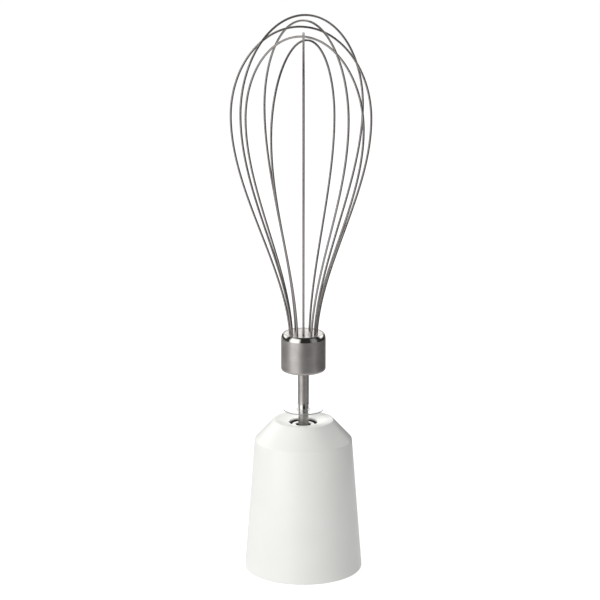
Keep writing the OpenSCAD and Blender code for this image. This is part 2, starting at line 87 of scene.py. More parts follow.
def arc_corner(before, here, after, radius, steps):
    """The arc that rounds one corner of an outline, with a short straight run at each end."""
    back = (before - here).normalized()
    ahead = (after - here).normalized()
    half = back.angle(ahead) / 2
    reach = radius / math.tan(half)
    run = min(reach / 4, LONGEST_RUN)
    centre = here + (back + ahead).normalized() * radius / math.sin(half)
    first = here + back * reach - centre
    last = here + ahead * reach - centre
    start = math.atan2(first.y, first.x)
    turn = math.atan2(first.x * last.y - first.y * last.x, first.dot(last))
    arc = [
        centre + radius * Vector((math.cos(a), math.sin(a)))
        for a in (start + turn * i / steps for i in range(steps + 1))
    ]
    return [here + back * (reach + run), *arc, here + ahead * (reach + run)]


def finished_mesh(name, shape):
    """The mesh of a shape that is being edited, which is then freed."""
    mesh = bpy.data.meshes.new(name)
    shape.to_mesh(mesh)
    shape.free()
    return mesh


def turned_mesh(name, corners, sides=192, steps=6):
    """A closed mesh turned about Z from an outline of (radius, height, rounding) in millimetres."""
    flat = [Vector(c[:2]) for c in corners]
    outline = []
    for i, (here, corner) in enumerate(zip(flat, corners)):
        if corner[2]:
            outline += arc_corner(flat[i - 1], here, flat[(i + 1) % len(flat)], corner[2], steps)
        else:
            outline.append(here)
    shape = bmesh.new()
    rings = []
    for point in outline:
        spread = sides if point.x > 0 else 1
        angles = [2 * math.pi * k / sides for k in range(spread)]
        rings.append([
            shape.verts.new((point.x * MM * math.cos(a), point.x * MM * math.sin(a), point.y * MM))
            for a in angles
        ])
    for ring, following in zip(rings, rings[1:] + rings[:1]):
        for k in range(sides if max(len(ring), len(following)) > 1 else 0):
            corners_of_face = []
            for side, offset in ((ring, k), (ring, k + 1), (following, k + 1), (following, k)):
                vertex = side[offset % len(side)]
                if vertex not in corners_of_face:
                    corners_of_face.append(vertex)
            shape.faces.new(corners_of_face)
    bmesh.ops.recalc_face_normals(shape, faces=shape.faces)
    return finished_mesh(name, shape)


def new_piece(name, mesh, *materials, sharp=30):
    """An object at the origin that holds the mesh, smooth except at edges sharper than an angle."""
    mesh.shade_smooth()
    mesh.set_sharp_from_angle(angle=math.radians(sharp))
    if materials:
        mesh.materials.clear()
        for material in materials:
            mesh.materials.append(material)
    piece = bpy.data.objects.new(name, mesh)
    bpy.context.scene.collection.objects.link(piece)
    return piece


def evaluated_mesh(piece):
    """The piece's mesh with its modifiers applied, which are then removed."""
    depsgraph = bpy.context.evaluated_depsgraph_get()
    mesh = bpy.data.meshes.new_from_object(piece.evaluated_get(depsgraph))
    mesh.name = piece.name
    piece.modifiers.clear()
    return mesh


def fit(piece, body, slot, *cad_nodes):
    """Mounts a finished piece on its body, in place of the CAD nodes that it stands for."""
    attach(piece, body)
    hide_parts(*cad_nodes)


def linear(hex_colour):
    """An sRGB hex colour as the linear colour that a shader takes."""
    channels = [int(hex_colour[i:i + 2], 16) / 255 for i in (1, 3, 5)]
    return [c / 12.92 if c <= 0.04045 else ((c + 0.055) / 1.055) ** 2.4 for c in channels] + [1]


def add_node(tree, kind, inputs=(), **settings):
    """Adds a node. Inputs are (socket, value) pairs, where a value may be another node's output."""
    node = tree.nodes.new(kind)
    for setting, value in settings.items():
        setattr(node, setting, value)
    for socket, value in inputs:
        if isinstance(value, bpy.types.NodeSocket):
            tree.links.new(value, node.inputs[socket])
        else:
            node.inputs[socket].default_value = value
    return node


def new_material(name):
    """An empty material and its node tree."""
    material = bpy.data.materials.new(name)
    material.use_nodes = True
    material.node_tree.nodes.clear()
    return material, material.node_tree


def period(size_mm):
    """The scale of a noise whose grain is that many millimetres across."""
    return 1 / (size_mm * MM)


# Most of a noise's values lie between these two. Flow marks are this many millimetres across.
NOISE_LOW = 0.3
NOISE_HIGH = 0.7
FLOW_MM = 14


def moulded_plastic(name, light, dark, roughness, grain_mm, depth_mm, ior=1.53):
    """A moulded plastic: faint flow marks in colour and gloss, and a fine spark-eroded grain."""
    material, tree = new_material(name)
    place = add_node(tree, "ShaderNodeTexCoord").outputs["Object"]
    flow = add_node(tree, "ShaderNodeTexNoise", [
        ("Vector", place), ("Scale", period(FLOW_MM)), ("Detail", 3)])
    colour = add_node(tree, "ShaderNodeMix", [
        ("Factor", flow.outputs["Fac"]), ("A", linear(light)), ("B", linear(dark))],
        data_type="RGBA")
    gloss = add_node(tree, "ShaderNodeMapRange", [
        ("Value", flow.outputs["Fac"]), ("From Min", NOISE_LOW), ("From Max", NOISE_HIGH),
        ("To Min", roughness - 0.03), ("To Max", roughness + 0.04)])
    speckle = add_node(tree, "ShaderNodeTexNoise", [
        ("Vector", place), ("Scale", period(grain_mm)), ("Detail", 2)])
    relief = add_node(tree, "ShaderNodeBump", [
        ("Strength", 0.35), ("Distance", depth_mm * MM), ("Height", speckle.outputs["Fac"])])
    shader = add_node(tree, "ShaderNodeBsdfPrincipled", [
        ("Base Color", colour.outputs["Result"]), ("Roughness", gloss.outputs["Result"]),
        ("Normal", relief.outputs["Normal"]), ("IOR", ior)])
    add_node(tree, "ShaderNodeOutputMaterial", [("Surface", shader.outputs["BSDF"])])
    return material


# Polished tool outside, so a soft sheen; spark-eroded tool inside, so matt, and painted a little
# greyer there as shade inside the housing.
white_abs = moulded_plastic("abs_moulded_white", "#F2F2EF", "#EDEDE9", 0.33, 0.5, 0.004)
inner_abs_matt_painted_shade = moulded_plastic("abs_moulded_white_matt", "#E9E9E6", "#E1E1DD", 0.55, 0.35, 0.02)

shell = new_piece("gearbox_housing", turned_mesh("gearbox_housing", [
    (BASE_R - WALL, 0, 0.4),
    (BASE_R, 0, 0.6),
    (SHOULDER_R, SHOULDER_H, 1.2),
    (RIM_R, HOUSING_H, 0.6),
    (RIM_R - RIM_W, HOUSING_H, 0.3),
    (OPENING_R, OPENING_Z, 0.4),
    (OPENING_R, ROOF_Z, 0),
    (SKIRT_R, ROOF_Z, 0),
    (SKIRT_R, ROOF_Z - SKIRT_H, 0.3),
    (SKIRT_R + SKIRT_T, ROOF_Z - SKIRT_H, 0.3),
    (SKIRT_R + SKIRT_T, ROOF_Z, 0.8),
    (RIM_R + (HOUSING_H - BEVEL_INSET - ROOF_Z) / BEVEL_SLOPE, ROOF_Z, 0),
    (SHOULDER_R - WALL, HOUSING_H + BEVEL_SLOPE * (RIM_R - SHOULDER_R + WALL) - BEVEL_INSET, 1),
], sides=256))

# Each post and its rib run up into the bevelled roof and out into the wall, and end inside both.
RIB_END = BASE_R - (BASE_R - SHOULDER_R) * POST_Z / SHOULDER_H - INTO_WALL * WALL


def roof_core(radius):
    """A height inside the thickness of the bevelled roof, over a point that far from the axis."""
    return HOUSING_H + BEVEL_SLOPE * (RIM_R - radius) - INTO_WALL * BEVEL_INSET


posts = bmesh.new()
for k in range(SCREW_COUNT):
    post = bmesh.ops.create_cone(
        posts, cap_ends=True, segments=48, radius1=POST_R, radius2=POST_R, depth=1,
        matrix=Matrix.Translation((POST_ORBIT, 0, 0)))["verts"]
    for vertex in post:
        vertex.co.z = roof_core(vertex.co.x) if vertex.co.z > 0 else POST_Z
    rib = bmesh.ops.create_cube(posts, size=1)["verts"]
    for vertex in rib:
        far_end = RIB_END * (RIB_TAPER if vertex.co.z > 0 else 1)
        vertex.co.x = far_end if vertex.co.x > 0 else POST_ORBIT
        vertex.co.y *= RIB_T
        vertex.co.z = roof_core(far_end) if vertex.co.z > 0 else POST_Z + RIB_SET_BACK
    turn = Matrix.Rotation(math.radians(SCREW_START + 360 * k / SCREW_COUNT), 4, "Z")
    bmesh.ops.transform(posts, matrix=Matrix.Scale(MM, 4) @ turn, verts=post + rib)
post_tool = new_piece("housing_posts", finished_mesh("housing_posts", posts))

pilots = bmesh.new()
for k in range(SCREW_COUNT):
    turn = Matrix.Rotation(math.radians(SCREW_START + 360 * k / SCREW_COUNT), 4, "Z")
    centre = Matrix.Translation((POST_ORBIT, 0, POST_Z + (POST_PILOT_H - CUT_PAST) / 2))
    bmesh.ops.create_cone(
        pilots, cap_ends=True, segments=32, radius1=POST_PILOT_R, radius2=POST_PILOT_R,
        depth=POST_PILOT_H + CUT_PAST, matrix=Matrix.Scale(MM, 4) @ turn @ centre)
pilot_tool = new_piece("post_pilots", finished_mesh("post_pilots", pilots))

for operation, tool in (("UNION", post_tool), ("DIFFERENCE", pilot_tool)):
    step = shell.modifiers.new(operation.lower(), "BOOLEAN")
    step.operation = operation
    step.solver = "EXACT"
    step.use_self = operation == "UNION"
    step.object = tool
shell_mesh = evaluated_mesh(shell)
for tool in (shell, post_tool, pilot_tool):
    bpy.data.objects.remove(tool)
housing = new_piece("gearbox_housing", shell_mesh, white_abs, inner_abs_matt_painted_shade)
# Faces inside the housing, and the opening's bore below its lip, take the matt white with painted
# shade, a little greyer; the outside and the lip stay bright.
for face in shell_mesh.polygons:
    radius = math.hypot(face.center.x, face.center.y) / MM
    height = face.center.z / MM
    side_r = BASE_R - (BASE_R - SHOULDER_R) * height / SHOULDER_H
    bevel_r = RIM_R + (HOUSING_H - height) / BEVEL_SLOPE
    is_core = radius < min(side_r, bevel_r) - INTO_WALL * WALL
    face.material_index = 1 if is_core and height < OPENING_Z - UNSHADED_LIP_DEPTH else 0
fit(housing, "housing", "white_abs", "housing")

# ---- Coupling collar ----
# The ring inside the mouth that takes the neck of the motor handle, with three bayonet
# slots. It is moulded in a slightly greyer ABS and snapped and welded into the housing.

WELD_DISTANCE = 0.002 * MM


def smooth_copy(name, cad_node, *materials, sharp=30):
    """A piece with a CAD node's shape, its loose triangles welded and its round faces smooth."""
    welded = bmesh.new()
    welded.from_mesh(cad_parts[cad_node].data)
    bmesh.ops.remove_doubles(welded, verts=welded.verts, dist=WELD_DISTANCE)
    welded.verts.index_update()
    mesh = bpy.data.meshes.new(name)
    mesh.from_pydata(
        [vertex.co for vertex in welded.verts], [],
        [[vertex.index for vertex in face.verts] for face in welded.faces])
    welded.free()
    return new_piece(name, mesh, *materials, sharp=sharp)


collar_abs = moulded_plastic("abs_moulded_pale_grey", "#D9D9D6", "#D2D2CE", 0.42, 0.45, 0.012)
fit(smooth_copy("coupling_ring", "coupling_collar", collar_abs),
    "housing", "pale_abs", "coupling_collar")

# ---- Gear case and cover ----
# The greased gear train's own case: a cup with a long bearing neck, and the cover that closes
# it. Both are moulded in grey acetal and clamped to the housing's posts by three screws.

ACETAL_IOR = 1.48
acetal_grey = moulded_plastic(
    "acetal_moulded_grey", "#A6A8AA", "#9C9EA0", 0.4, 0.6, 0.01, ACETAL_IOR)
for name, cad_node in (("gear_case_cup", "gear_case"), ("gear_case_lid", "gear_case_cover")):
    fit(smooth_copy(name, cad_node, acetal_grey), "housing", "grey_pom", cad_node)

# ---- Case gasket ----
# A flat ring cut from pressed fibre, clamped between the case and its cover to keep the
# grease in. Short fibres lie every way in it, so it is mottled and quite matt.


def clouded_surface(name, cloud, even, tones=None, gloss=None, relief=None):
    """A surface with even properties, and one noise in its colour, gloss or relief.

    Gloss is the noise's range and the roughness at each end of it, and relief is the bump's
    strength and its depth in millimetres.
    """
    material, tree = new_material(name)
    place = add_node(tree, "ShaderNodeTexCoord").outputs["Object"]
    noise = add_node(tree, "ShaderNodeTexNoise", [("Vector", place), *cloud]).outputs["Fac"]
    look = list(even)
    if tones:
        colour = add_node(tree, "ShaderNodeMix", [
            ("Factor", noise), ("A", linear(tones[0])), ("B", linear(tones[1]))],
            data_type="RGBA")
        look.append(("Base Color", colour.outputs["Result"]))
    if gloss:
        spread = add_node(tree, "ShaderNodeMapRange", [
            ("Value", noise), *zip(("From Min", "From Max", "To Min", "To Max"), gloss)])
        look.append(("Roughness", spread.outputs["Result"]))
    if relief:
        bump = add_node(tree, "ShaderNodeBump", [
            ("Strength", relief[0]), ("Distance", relief[1] * MM), ("Height", noise)])
        look.append(("Normal", bump.outputs["Normal"]))
    shader = add_node(tree, "ShaderNodeBsdfPrincipled", look)
    add_node(tree, "ShaderNodeOutputMaterial", [("Surface", shader.outputs["BSDF"])])
    return material


fibre = clouded_surface(
    "gasket_fibre_pressed", [("Scale", period(1.2)), ("Detail", 4), ("Distortion", 2.5)],
    [("Roughness", 0.9)], tones=("#5F7A69", "#34473C"), relief=(0.6, 0.02))
fit(smooth_copy("case_seal_ring", "case_gasket", fibre), "housing", "gasket_fibre", "case_gasket")

# ---- Case screws ----
# Three small pan-head screws with cross recesses, zinc plated and clear passivated, which
# clamp the cover, gasket and case to the housing's posts. One screw is made and set around.


def around_axis_tree(name, material):
    """Geometry nodes that set one shape around the Z axis."""
    tree = bpy.data.node_groups.new(name, "GeometryNodeTree")
    for label, kind in (("Shape", "NodeSocketObject"), ("Count", "NodeSocketInt"),
                        ("Orbit", "NodeSocketFloat"), ("Start angle", "NodeSocketFloat")):
        tree.interface.new_socket(name=label, in_out="INPUT", socket_type=kind)
    tree.interface.new_socket(name="Geometry", in_out="OUTPUT", socket_type="NodeSocketGeometry")
    given = add_node(tree, "NodeGroupInput").outputs
    shape = add_node(tree, "GeometryNodeObjectInfo", [("Object", given["Shape"])])
    circle = add_node(tree, "GeometryNodeMeshCircle", [
        ("Vertices", given["Count"]), ("Radius", given["Orbit"])])
    index = add_node(tree, "GeometryNodeInputIndex").outputs[0]
    step = add_node(tree, "ShaderNodeMath", [(0, 2 * math.pi), (1, given["Count"])],
                    operation="DIVIDE")
    angle = add_node(tree, "ShaderNodeMath", [(0, index), (1, step.outputs[0])],
                     operation="MULTIPLY")
    turn = add_node(tree, "ShaderNodeCombineXYZ", [("Z", angle.outputs[0])])
    copies = add_node(tree, "GeometryNodeInstanceOnPoints", [
        ("Points", circle.outputs["Mesh"]), ("Instance", shape.outputs["Geometry"]),
        ("Rotation", turn.outputs[0])])
    start = add_node(tree, "ShaderNodeCombineXYZ", [("Z", given["Start angle"])])
    turned = add_node(tree, "GeometryNodeTransform", [
        ("Geometry", copies.outputs[0]), ("Rotation", start.outputs[0])])
    real = add_node(tree, "GeometryNodeRealizeInstances", [("Geometry", turned.outputs[0])])
    painted = add_node(tree, "GeometryNodeSetMaterial", [
        ("Geometry", real.outputs[0]), ("Material", material)])
    add_node(tree, "NodeGroupOutput", [("Geometry", painted.outputs[0])])
    return tree


def grown_mesh(name, tree, values):
    """The mesh that a geometry-nodes tree makes from values given by input name."""
    host = bpy.data.objects.new(name, bpy.data.meshes.new(name))
    bpy.context.scene.collection.objects.link(host)
    maker = host.modifiers.new("maker", "NODES")
    maker.node_group = tree
    for socket in tree.interface.items_tree:
        if socket.in_out == "INPUT":
            maker[socket.identifier] = values[socket.name]
    mesh = evaluated_mesh(host)
    bpy.data.objects.remove(host)
    return mesh


SCREW_HEAD_R = 2.1
SCREW_HEAD_H = 1.6
SCREW_R = 1.05
SCREW_L = 14.0
SCREW_PITCH = 0.8
SCREW_TIP = 1.2
SCREW_TIP_R = SCREW_R - 0.5
SCREW_PLAIN = 1.0
THREAD_DEPTH = 0.22
RECESS_ARM = 1.3
RECESS_ARM_TAPER = 0.35
RECESS_W = 0.6
RECESS_W_TAPER = 0.6
RECESS_DEPTH = 0.9
RECESS_CLEAR = 0.5
COVER_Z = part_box("case_screws")[0].z / MM + SCREW_HEAD_H

# The plating's crystals cloud both its colour and its gloss.
zinc = clouded_surface(
    "steel_zinc_plated", [("Scale", period(0.9)), ("Detail", 5)], [("Metallic", 1)],
    tones=("#C9CDD3", "#B5B6B2"), gloss=(0, 1, 0.2, 0.42))

# The thread is drawn as shallow rings at its real pitch, cut down into the shank.
thread = []
for k in range(int((SCREW_L - SCREW_TIP - SCREW_PLAIN) / SCREW_PITCH)):
    z = COVER_Z + SCREW_PLAIN + k * SCREW_PITCH
    thread += [(SCREW_R - THREAD_DEPTH, z, 0), (SCREW_R, z + SCREW_PITCH / 2, 0)]
screw_blank = new_piece("screw_blank", turned_mesh("screw_blank", [
    (0, COVER_Z - SCREW_HEAD_H, 0), (SCREW_HEAD_R, COVER_Z - SCREW_HEAD_H, 0.75),
    (SCREW_HEAD_R, COVER_Z, 0), (SCREW_R, COVER_Z, 0), *thread,
    (SCREW_TIP_R, COVER_Z + SCREW_L, 0.2), (0, COVER_Z + SCREW_L, 0),
], sides=40))
recess = bmesh.new()
for turn in (0, 90):
    arm = bmesh.ops.create_cube(recess, size=1)["verts"]
    for vertex in arm:
        is_deep = vertex.co.z > 0
        vertex.co.x *= 2 * RECESS_ARM * (RECESS_ARM_TAPER if is_deep else 1)
        vertex.co.y *= RECESS_W * (RECESS_W_TAPER if is_deep else 1)
        vertex.co.z = COVER_Z - SCREW_HEAD_H + (RECESS_DEPTH if is_deep else -RECESS_CLEAR)
    bmesh.ops.transform(recess, verts=arm, matrix=Matrix.Scale(MM, 4)
                        @ Matrix.Rotation(math.radians(turn), 4, "Z"))
recess_tool = new_piece("cross_recess", finished_mesh("cross_recess", recess))
cut = screw_blank.modifiers.new("recess", "BOOLEAN")
cut.operation = "DIFFERENCE"
cut.solver = "EXACT"
cut.use_self = True
cut.object = recess_tool
screw_mesh = evaluated_mesh(screw_blank)
bpy.data.objects.remove(screw_blank)
bpy.data.objects.remove(recess_tool)
screw = new_piece("screw_pattern", screw_mesh)
screws = new_piece("pan_head_screws", grown_mesh(
    "pan_head_screws", around_axis_tree("screws_around_case", zinc), {
        "Shape": screw, "Count": SCREW_COUNT, "Orbit": POST_ORBIT * MM,
        "Start angle": math.radians(SCREW_START)}), sharp=35)
bpy.data.objects.remove(screw)
fit(screws, "housing", "zinc_steel", "case_screws")

# ---- Ring gear and planet gears ----
# The internal gear, keyed into the case, and three planets that roll in it. They are moulded
# in natural acetal: an off-white, waxy, slightly see-through plastic, greased in use.

acetal_natural = moulded_plastic(
    "acetal_moulded_natural", "#EFEBDD", "#E6E1D0", 0.34, 1.2, 0.006, ACETAL_IOR)
natural_shader = next(n for n in acetal_natural.node_tree.nodes if n.type == "BSDF_PRINCIPLED")
natural_shader.inputs["Subsurface Weight"].default_value = 0.25
natural_shader.inputs["Subsurface Scale"].default_value = 1.5 * MM
natural_shader.inputs["Subsurface Radius"].default_value = (1.0, 0.8, 0.6)
fit(smooth_copy("internal_gear", "ring_gear", acetal_natural, sharp=22),
    "housing", "natural_pom", "ring_gear")
for k in (1, 2, 3):
    fit(smooth_copy(f"planet_wheel_{k}", f"planet_gear_{k}", acetal_natural, sharp=22),
        f"planet_{k}", "natural_pom", f"planet_gear_{k}")

# ---- Bushes ----
# Two flanged bearing bushes, pressed and sintered from bronze powder and soaked in oil.
# Fine open pores make the bronze darker and duller than cast metal.

bronze, bronze_tree = new_material("bronze_sintered")
bronze_place = add_node(bronze_tree, "ShaderNodeTexCoord").outputs["Object"]
pores = add_node(bronze_tree, "ShaderNodeTexVoronoi", [
    ("Vector", bronze_place), ("Scale", period(0.22))])
pore_edge = add_node(bronze_tree, "ShaderNodeMapRange", [
    ("Value", pores.outputs["Distance"]), ("From Min", 0.12), ("From Max", 0.4)])
bronze_colour = add_node(bronze_tree, "ShaderNodeMix", [
    ("Factor", pore_edge.outputs["Result"]), ("A", linear("#5A4323")), ("B", linear("#B38A50"))],
    data_type="RGBA")
bronze_relief = add_node(bronze_tree, "ShaderNodeBump", [
    ("Strength", 0.5), ("Distance", 0.02 * MM), ("Height", pore_edge.outputs["Result"])])
bronze_shader = add_node(bronze_tree, "ShaderNodeBsdfPrincipled", [
    ("Base Color", bronze_colour.outputs["Result"]), ("Metallic", 1), ("Roughness", 0.48),
    ("Normal", bronze_relief.outputs["Normal"])])
add_node(bronze_tree, "ShaderNodeOutputMaterial", [("Surface", bronze_shader.outputs["BSDF"])])
for name, cad_node in (("input_bearing", "input_bush"), ("output_bearing", "output_bush")):
    fit(smooth_copy(name, cad_node, bronze), "housing", "sintered_bronze", cad_node)

# ---- Seals ----
# The lip seal around the output sleeve and the O-ring around the case's neck keep food and
# water out. Both are moulded nitrile rubber: black, soft-edged and almost without gloss.

nitrile = clouded_surface(
    "rubber_nitrile_moulded", [("Scale", period(0.4)), ("Detail", 3)],
    [("Roughness", 0.62), ("IOR", 1.52)], tones=("#161616", "#222221"), relief=(0.4, 0.01))
for name, cad_node in (("lip_seal", "output_seal"), ("case_neck_ring", "neck_o_ring")):
    fit(smooth_copy(name, cad_node, nitrile, sharp=40), "housing", "seal_rubber", cad_node)

# ---- Drive coupling ----
# The black nylon dog that the motor's hexagonal shaft drives. It is moulded onto the input
# shaft, and its glass filling leaves a faint grainy skin.

nylon = moulded_plastic("nylon_glass_filled_black", "#1B1B1D", "#242426", 0.45, 0.3, 0.03)
fit(smooth_copy("drive_dog", "drive_coupling", nylon), "input", "black_nylon", "drive_coupling")

# ---- Input shaft, pins and carrier plate ----
# The shaft with the sun gear hobbed on it, the planets' three pins and the plate that joins
# them are bright steel. Grinding round the axis leaves fine rings that draw out highlights.


def turned_metal(name, light, dark, roughness, line_mm, depth_mm, stretch):
    """A metal ground or brushed round the Z axis: fine rings that run around the piece."""
    material, tree = new_material(name)
    place = add_node(tree, "ShaderNodeTexCoord").outputs["Object"]
    drawn_out = add_node(tree, "ShaderNodeMapping", [
        ("Vector", place), ("Scale", (1 / stretch, 1 / stretch, 1))])
    lines = add_node(tree, "ShaderNodeTexNoise", [
        ("Vector", drawn_out.outputs["Vector"]), ("Scale", period(line_mm)), ("Detail", 4),
        ("Roughness", 0.7)])
    patches = add_node(tree, "ShaderNodeTexNoise", [
        ("Vector", place), ("Scale", period(5)), ("Detail", 3)])
    tone = add_node(tree, "ShaderNodeMath", [
        (0, lines.outputs["Fac"]), (1, patches.outputs["Fac"])], operation="MULTIPLY")
    spread = add_node(tree, "ShaderNodeMapRange", [
        ("Value", tone.outputs[0]), ("From Min", 0.1), ("From Max", 0.42)])
    colour = add_node(tree, "ShaderNodeMix", [
        ("Factor", spread.outputs["Result"]), ("A", linear(dark)), ("B", linear(light))],
        data_type="RGBA")
    gloss = add_node(tree, "ShaderNodeMapRange", [
        ("Value", lines.outputs["Fac"]), ("From Min", NOISE_LOW), ("From Max", NOISE_HIGH),
        ("To Min", roughness * 0.85), ("To Max", roughness * 1.15)])
    relief = add_node(tree, "ShaderNodeBump", [
        ("Strength", 0.3), ("Distance", depth_mm * MM), ("Height", lines.outputs["Fac"])])
    tangent = add_node(tree, "ShaderNodeTangent", direction_type="RADIAL", axis="Z")
    shader = add_node(tree, "ShaderNodeBsdfPrincipled", [
        ("Base Color", colour.outputs["Result"]), ("Metallic", 1),
        ("Roughness", gloss.outputs["Result"]), ("Anisotropic", 0.35),
        ("Anisotropic Rotation", 0.25), ("Normal", relief.outputs["Normal"]),
        ("Tangent", tangent.outputs["Tangent"])])
    add_node(tree, "ShaderNodeOutputMaterial", [("Surface", shader.outputs["BSDF"])])
    return material


ground_steel = turned_metal("steel_ground_bright", "#C9C9C8", "#AFAFAE", 0.33, 0.12, 0.002, 40)
fit(smooth_copy("sun_pinion_shaft", "input_pinion", ground_steel, sharp=24),
    "input", "bright_steel", "input_pinion")
fit(smooth_copy("planet_plate", "carrier_plate", ground_steel),
    "carrier", "bright_steel", "carrier_plate")

PIN_COUNT = 3
PIN_R = 1.0
PIN_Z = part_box("planet_pins")[0].z / MM
PIN_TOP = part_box("planet_pins")[1].z / MM
PLANET_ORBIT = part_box("planet_pins")[1].x / MM - PIN_R
pin = new_piece("pin_pattern", turned_mesh("pin_pattern", [
    (0, PIN_Z, 0), (PIN_R, PIN_Z, 0.2), (PIN_R, PIN_TOP, 0.2), (0, PIN_TOP, 0)], sides=40))
pins = new_piece("planet_axles", grown_mesh(
    "planet_axles", around_axis_tree("pins_around_carrier", ground_steel), {
        "Shape": pin, "Count": PIN_COUNT, "Orbit": PLANET_ORBIT * MM, "Start angle": 0.0}))
bpy.data.objects.remove(pin)
fit(pins, "carrier", "bright_steel", "planet_pins")

# ---- Circlip and retaining clip ----
# Two open rings stamped and wound from spring steel, oil-hardened to a dark straw grey: one
# holds the input shaft, the other snaps into the whisk shaft's groove.

spring_steel = turned_metal("steel_spring_hardened", "#8E8C8A", "#67615C", 0.34, 0.2, 0.004, 12)
for name, cad_node, body in (("shaft_circlip", "input_circlip", "input"),
                             ("whisk_clip", "retaining_clip", "carrier")):
    fit(smooth_copy(name, cad_node, spring_steel), body, "spring_steel", cad_node)

# ---- Thrust washers ----
# Two plain washers punched from natural acetal sheet, which take the end load of the input
# shaft and of the planet carrier.

for name, cad_node, body in (("input_thrust_washer", "input_washer", "input"),
                             ("output_thrust_washer", "output_washer", "carrier")):
    fit(smooth_copy(name, cad_node, acetal_natural), body, "natural_pom", cad_node)

# ---- Planet carrier ----
# The turning output: a disc that holds the planets' pins, in one moulding with the sleeve
# whose end is the hub in the dish. White acetal, smooth where it runs in bush and seal.

acetal_white = moulded_plastic(
    "acetal_moulded_white", "#F1F1EE", "#EAEAE6", 0.33, 0.7, 0.005, ACETAL_IOR)
fit(smooth_copy("carrier_sleeve", "planet_carrier", acetal_white), "carrier", "white_pom",
    "planet_carrier")

# ---- Drive socket ----
# The steel insert in the sleeve that takes the whisk shaft's flats. It is turned from free-
# cutting steel and chemically blackened, so it shows only faint tool rings.

blackened = turned_metal("steel_turned_blackened", "#2A2A2B", "#1A1A1B", 0.45, 0.25, 0.006, 30)
fit(smooth_copy("shaft_socket", "drive_socket", blackened), "carrier", "dark_steel", "drive_socket")

# ---- Whisk shaft ----
# A stainless rod, brushed above and polished for a few millimetres at the splash disc. Below
# it is turned down to a tail with a groove for the clip and two flats milled on its end.

SHAFT_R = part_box("whisk_shaft")[1].x / MM
SHAFT_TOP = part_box("whisk_shaft")[1].z / MM
TAIL_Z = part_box("whisk_shaft")[0].z / MM
TAIL_R = 2.3
TAIL_CHAMFER = 0.3
FLAT_HALF = 0.78 * TAIL_R
FLAT_TOP = 48.1
FLAT_STEP = 0.05
GROOVE_Z = 55.55
GROOVE_H = 0.8
GROOVE_DEPTH = 0.3
GROOVE_RAMP = 0.2
DISC_T = 0.5
DISC_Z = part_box("splash_disc")[1].z / MM - DISC_T
DISC_TOP = DISC_Z + DISC_T
POLISH_TOP = DISC_TOP + 2.3
POLISH_END = DISC_Z - 0.7

# Brushed with a fine belt: close rings that spread every highlight down the rod.
brushed_stainless = turned_metal(
    "stainless_brushed", "#C3BFBC", "#AAA6A3", 0.46, 0.16, 0.004, 60)

# The tail is only fine turned, so it is greyer and shows the tool's rings.
turned_stainless = turned_metal(
    "stainless_fine_turned", "#D2CECA", "#85817D", 0.34, 0.7, 0.004, 6)

# Polished after turning: a near mirror with faint wipe marks.
polished_stainless = clouded_surface(
    "stainless_polished", [("Scale", period(2.5)), ("Detail", 6), ("Roughness", 0.65)],
    [("Metallic", 1)], tones=("#DAD8D4", "#CFCCC7"), gloss=(0.35, 0.7, 0.05, 0.12))

shaft_mesh = turned_mesh("whisk_spindle", [
    (0, TAIL_Z, 0), (TAIL_R - TAIL_CHAMFER, TAIL_Z, 0), (TAIL_R, TAIL_Z + TAIL_CHAMFER, 0),
    (TAIL_R, FLAT_TOP, 0), (TAIL_R, FLAT_TOP + FLAT_STEP, 0),
    (TAIL_R, GROOVE_Z - GROOVE_RAMP, 0), (TAIL_R - GROOVE_DEPTH, GROOVE_Z, 0),
    (TAIL_R - GROOVE_DEPTH, GROOVE_Z + GROOVE_H, 0),
    (TAIL_R, GROOVE_Z + GROOVE_H + GROOVE_RAMP, 0),
    (TAIL_R, DISC_TOP, 0), (SHAFT_R, DISC_TOP, 0.08),
    (SHAFT_R, POLISH_TOP, 0), (SHAFT_R, SHAFT_TOP, 0.3), (0, SHAFT_TOP, 0)], sides=128)
for vertex in shaft_mesh.vertices:
    if vertex.co.z < (FLAT_TOP + FLAT_STEP / 2) * MM:
        vertex.co.y = max(-FLAT_HALF * MM, min(FLAT_HALF * MM, vertex.co.y))
spindle = new_piece(
    "whisk_spindle", shaft_mesh, brushed_stainless, polished_stainless, turned_stainless)
for face in shaft_mesh.polygons:
    height = face.center.z / MM
    face.material_index = 0 if height > POLISH_TOP else 1 if height > POLISH_END else 2
fit(spindle, "whisk", "brushed_stainless", "whisk_shaft")

# ---- Splash disc ----
# A thin disc of clear polycarbonate, turned and pushed up the shaft to its shoulder. It keeps
# splashes out of the gearbox, and shows mostly by its frosted rim.

DISC_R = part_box("splash_disc")[1].x / MM
DISC_HUB_R = 3.0
DISC_HUB_H = 1.2
DISC_BORE_R = TAIL_R + 0.02
SHOULDER_GAP = 0.01
FROSTED_W = 0.1
CLEAR_IOR = 1.585

# The faces keep the sheet's own clear gloss, with a little wear in patches.
clear = clouded_surface(
    "polycarbonate_clear", [("Scale", period(3)), ("Detail", 5), ("Roughness", 0.6)],
    [("Base Color", linear("#FBFCFC")), ("IOR", CLEAR_IOR), ("Transmission Weight", 1)],
    gloss=(0.45, 0.75, 0.01, 0.06))

# The rim is left as the turning tool cut it, so it is frosted and catches the softbox.
frosted = clouded_surface(
    "polycarbonate_turned_edge", [("Scale", period(0.3)), ("Detail", 3)],
    [("Base Color", linear("#B4B7B7")), ("IOR", CLEAR_IOR), ("Transmission Weight", 0.5)],
    gloss=(NOISE_LOW, NOISE_HIGH, 0.4, 0.6))

